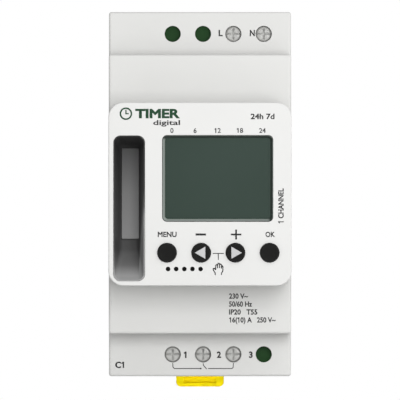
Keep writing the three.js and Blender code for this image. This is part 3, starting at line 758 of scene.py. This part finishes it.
def clip_spring():
    """A round-wire coil with closed ends, fixed on the case. The real spring shortens as the clip is
    pulled down.
    """
    low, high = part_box("clip_spring")
    middle = centre("clip_spring")
    wire = 0.22 * MM
    radius = (high.x - low.x) / 2 - wire
    turns, sides, steps = 7, 10, 220
    dead = 0.9  # turns wound flat at each end
    tight = 2.1 * wire  # the rise of such a turn
    span = high.z - low.z - 2 * wire
    close = tight * dead
    work = bmesh.new()
    rings = []
    for i in range(steps + 1):
        turn = turns * i / steps
        if turn < dead:
            rise = tight * turn
        elif turn > turns - dead:
            rise = span - tight * (turns - turn)
        else:
            rise = close + (span - 2 * close) * (turn - dead) / (turns - 2 * dead)
        angle = 2 * math.pi * turn
        out = Vector((math.cos(angle), math.sin(angle), 0))
        heart = Vector((middle.x, middle.y, low.z + wire + rise)) + out * radius
        ring = []
        for side in range(sides):
            around = 2 * math.pi * side / sides
            lift = Vector((0, 0, math.sin(around)))
            ring.append(work.verts.new(heart + wire * (out * math.cos(around) + lift)))
        rings.append(ring)
    for a, b in zip(rings, rings[1:]):
        for i in range(sides):
            j = (i + 1) % sides
            work.faces.new((a[i], a[j], b[j], b[i]))
    work.faces.new(rings[0])
    work.faces.new(rings[-1])
    made = piece("coil", mesh_from("coil", work), "spring", CASE, ["clip_spring"])
    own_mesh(made)


clip_spring()

# ---------------------------------------------------------------- inner parts

INNER = {
    "lcd_panel": ("display", 0.1),
    "lcd_holder": ("white", 0.15),
    "zebra_strip": ("black", 0.15),
    "display_board": ("board", 0.1),
    "service_port": ("black", 0.15),
    "microcontroller": ("black", 0.1),
    "quartz_crystal": ("pressed", 0.3),
    "lithium_cell": ("spring", 0.3),
    "cell_tabs": ("pressed", 0.1),
    "board_link": ("ribbon", 0.1),
    "power_board": ("board", 0.1),
    "mains_capacitor": ("film", 0.4),
    "smoothing_capacitor": ("sleeve", 0.4),
    "varistor": ("blue", 0.5),
    "rectifier": ("black", 0.2),
    "relay_base": ("black", 0.2),
    "relay_cover": ("blue", 0.3),
    "relay_coil": ("winding", 0.1),
    "relay_yoke": ("iron", 0.15),
    "relay_armature": ("iron", 0.15),
    "relay_contact_blade": ("copper", 0.05),
    "relay_make_contact": ("copper", 0.05),
    "relay_break_contact": ("copper", 0.05),
}
for node, (look, width) in INNER.items():
    dress(node, look, width * MM)

# ---------------------------------------------------------------- legends

THIN = 0.2  # the width of the finest lines, in millimetres


def fascia_legends():
    """The hours over the window, the keys' labels and marks, and the type lines."""
    for hour, x in (("0", -6.9), ("6", -1.2), ("12", 4.3), ("18", 9.78), ("24", 15.33)):
        text(f"hour_{hour}", hour, x, 15.05, 1.12, FRONT, "ink_grey", align="middle")
    text("label_menu", "MENU", -8.06, -10.5, 1.2, FRONT, "ink_dark", 4.64, "middle", 0.03)
    text("label_ok", "OK", 17.25, -10.5, 1.2, FRONT, "ink_dark", 2.35, "middle", 0.03)
    printed("label_minus", ribbon([(-1.08, -9.92), (1.48, -9.92)], 0.5), FRONT, "ink_dark")
    plus = merged(
        ribbon([(7.58, -9.92), (10.15, -9.92)], 0.42),
        ribbon([(8.86, -8.7), (8.86, -9.75)], 0.42),
        ribbon([(8.86, -10.09), (8.86, -11.15)], 0.42),
    )
    printed("label_plus", plus, FRONT, "ink_dark")
    text("label_model", "24h 7d", 12.45, 18.45, 1.25, FRONT, "ink_dark", 5.85, weight=0.03)
    text("label_channel", "1 CHANNEL", 20.5, -7.2, 1.25, FRONT, "ink_grey", 8.6, weight=0.03, turn=90)
    bracket = merged(
        ribbon([(3.15, -14.58), (5.85, -14.58)], THIN),
        ribbon([(4.5, -14.64), (4.5, -16.15)], THIN),
    )
    printed("bracket", bracket, FRONT, "ink_dark")


def hand_symbol():
    """An open hand, which marks the manual override: fingers, thumb and palm in outline."""
    strokes = [
        [(3.75, -19.85), (3.7, -19.3), (3.3, -18.75), (3.25, -18.3), (3.55, -18.25), (3.85, -18.65)],
        [(3.85, -18.65), (3.85, -17.5), (4.1, -17.3), (4.3, -17.5), (4.3, -18.2)],
        [(4.3, -17.4), (4.45, -17.0), (4.7, -17.0), (4.8, -17.4), (4.8, -18.2)],
        [(4.8, -17.4), (5.0, -17.15), (5.25, -17.3), (5.3, -18.3)],
        [(5.3, -17.8), (5.5, -17.65), (5.65, -17.9), (5.6, -18.9), (5.3, -19.4), (5.25, -19.85)],
    ]
    printed("hand", merged(*(ribbon(stroke, 0.26) for stroke in strokes)), FRONT, "ink_dark")


def title():
    """A plain clock symbol and a generic name."""
    x, z, radius = -18.2, 19.75, 1.35
    dial = ribbon(arc(x, z, radius, 90, 449, 40), 0.38)
    hands = ribbon([(x, z + 0.95), (x, z), (x + 0.7, z)], 0.3)
    printed("title_clock", dial, FRONT, "ink_green")
    printed("title_hands", hands, FRONT, "ink_green")
    text("title_name", "TIMER", -15.9, 18.75, 2.05, FRONT, "ink_green", 11.0, weight=0.045)
    text("title_kind", "digital", -11.5, 17.0, 1.15, FRONT, "ink_grey", 6.6)


def shelf_legends():
    """The terminals' marks, the contact symbol between them, and the rating."""
    for mark, x, width in (("L", 4.6, 1.0), ("N", 12.3, 1.25)):
        text(f"mark_{mark}", mark, x, 39.1, 1.42, SHELF, width=width, weight=0.035)
    for mark, x, z in (("1", -4.05, -40.4), ("2", 4.15, -40.4), ("3", 12.1, -40.4)):
        text(f"mark_{mark}", mark, x, z, 1.42, SHELF, weight=0.04)
    text("mark_channel", "C1", -20.95, -42.9, 1.4, SHELF, "ink_dark", 2.2, weight=0.035)
    contact = merged(
        ribbon([(-6.75, -41.75), (-6.7, -42.7), (-6.35, -43.1), (0.05, -43.1)], THIN),
        ribbon([(0.8, -41.8), (0.85, -42.3), (1.65, -43.25)], THIN),
        ribbon([(2.0, -43.1), (7.9, -43.1), (8.2, -42.8), (8.25, -41.75)], THIN),
    )
    printed("contact_symbol", contact, SHELF, "ink_grey")
    printed("contact_point", disc(0.2, -43.1, 0.2), SHELF, "ink_grey")
    lines = (("230 V~", 4.7), ("50/60 Hz", 5.7), ("IP20   T55", 7.0), ("16(10) A   250 V~", 11.5))
    first, pitch = -25.75, 1.96
    for row, (line, width) in enumerate(lines):
        z = first - pitch * row
        text(f"rating_{row}", line, 7.15, z, 1.2, SHOULDER, "ink_dark", width, weight=0.03)


fascia_legends()
hand_symbol()
title()
shelf_legends()

# ---------------------------------------------------------------- studio

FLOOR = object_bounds()[0].z - 4.2 * MM  # just clear of the clip when it is pulled down


def floor():
    """A pale light table whose edge fades into the white room."""
    solid, gone, radius = 0.04, 0.1, 0.12  # it is solid to the first radius and gone at the second
    look = Look("floor", 0.7, Emission_Color=(1, 1, 1, 1), Emission_Strength=0.08)
    look.colour(look.ramp(look.noise(30, 2), (0.3, (0.74, 0.74, 0.74)), (0.7, (0.77, 0.77, 0.77))))
    look.bump(look.noise(900, 2), 0.02 * MM)
    away = look.node("ShaderNodeVectorMath", Vector=look.place)
    away.operation = "LENGTH"
    share = look.node("ShaderNodeMapRange", Value=away.outputs["Value"], From_Min=solid, From_Max=gone)
    share.interpolation_type = "SMOOTHSTEP"
    clear = look.node("ShaderNodeBsdfTransparent")
    mix = look.node("ShaderNodeMixShader", Fac=share.outputs["Result"])
    links = look.tree.links
    links.new(look.shader.outputs[0], mix.inputs[1])
    links.new(clear.outputs[0], mix.inputs[2])
    links.new(mix.outputs[0], look.tree.nodes["Material Output"].inputs["Surface"])
    work = bmesh.new()
    bmesh.ops.create_circle(work, cap_ends=True, segments=96, radius=radius)
    made = bpy.data.objects.new("floor", mesh_from("floor", work))
    made.data.materials.append(look.material)
    bpy.context.scene.collection.objects.link(made)
    made.location = (0, -0.03, FLOOR)


def sky():
    """A white room. Its light comes mostly from around the camera and from behind the object."""
    world = bpy.data.worlds.new("sky")
    world.use_nodes = True
    tree = world.node_tree
    generated = shader_node(tree, "ShaderNodeTexCoord").outputs["Generated"]
    way = shader_node(tree, "ShaderNodeSeparateXYZ", Vector=generated).outputs
    depth = shader_node(tree, "ShaderNodeMapRange", Value=way["Y"], From_Min=-1.0, From_Max=1.0)
    # Brightness by direction: 0 is towards the camera, 0.5 square to it, and 1 away from it.
    stops = ((0, 0.4), (0.02, 0.45), (0.05, 1.0), (0.22, 1.0), (0.3, 0.5), (0.6, 0.5), (0.8, 1.0))
    levels = colour_ramp(tree, depth.outputs["Result"], *((at, (level,) * 3) for at, level in stops))
    less_above = math_node(tree, "MULTIPLY_ADD", way["Z"], -0.1, 1.0)
    more_right = math_node(tree, "MULTIPLY_ADD", way["X"], 0.3, less_above)
    light = math_node(tree, "MULTIPLY", more_right, levels)
    # The camera sees plain white, and everything else is lit by the levels.
    camera_ray = shader_node(tree, "ShaderNodeLightPath").outputs["Is Camera Ray"]
    strength = shader_node(tree, "ShaderNodeMapRange", Value=camera_ray, To_Min=light)
    background = tree.nodes["Background"]
    background.inputs["Color"].default_value = (1, 1, 1, 1)
    connect(tree, strength.outputs["Result"], background.inputs["Strength"])
    bpy.context.scene.world = world


def softbox(name, place, aim, size, power, spread=180, glare=True):
    """A rectangular light that the camera doesn't see. Spread is in degrees."""
    data = bpy.data.lights.new(name, "AREA")
    data.shape = "RECTANGLE"
    data.size, data.size_y = size
    data.energy = power
    data.spread = math.radians(spread)
    light = bpy.data.objects.new(name, data)
    bpy.context.scene.collection.objects.link(light)
    light.location = place
    light.rotation_euler = (Vector(aim) - Vector(place)).to_track_quat("-Z", "Y").to_euler()
    light.visible_camera = False
    light.visible_glossy = glare


def studio():
    """The floor, the room's light and three lights."""
    bpy.context.scene.view_settings.view_transform = "Standard"
    floor()
    sky()
    softbox("key", (0.45, -0.95, 1.15), (0, -0.04, 0), (0.5, 0.5), 2.0)
    # A polarised light near the lens fills the steps of the case and adds no glare.
    softbox("front", (0.05, -0.34, 0.035), (0, -0.05, 0), (0.14, 0.14), 0.6, glare=False)
    # The clip's pull sits in the shade of the case, so it has a small light of its own.
    pull = (0, 0.001, -0.0465)
    softbox("kicker", (0, -0.025, -0.0505), pull, (0.02, 0.003), 0.00035, spread=40)


def camera():
    """A long lens level with the object, straight in front of it."""
    data = bpy.data.cameras.new("camera")
    data.sensor_width = 36
    data.lens = 1400
    data.clip_end = 50
    shown = 98.24 * MM  # what the frame's width covers at the front face
    eye = -1.45 * MM  # the height of the lens
    made = bpy.data.objects.new("camera", data)
    bpy.context.scene.collection.objects.link(made)
    away = shown * data.lens / data.sensor_width
    made.location = (0, FRONT - away, eye)
    made.rotation_euler = (math.pi / 2, 0, 0)
    bpy.context.scene.camera = made


studio()
camera()
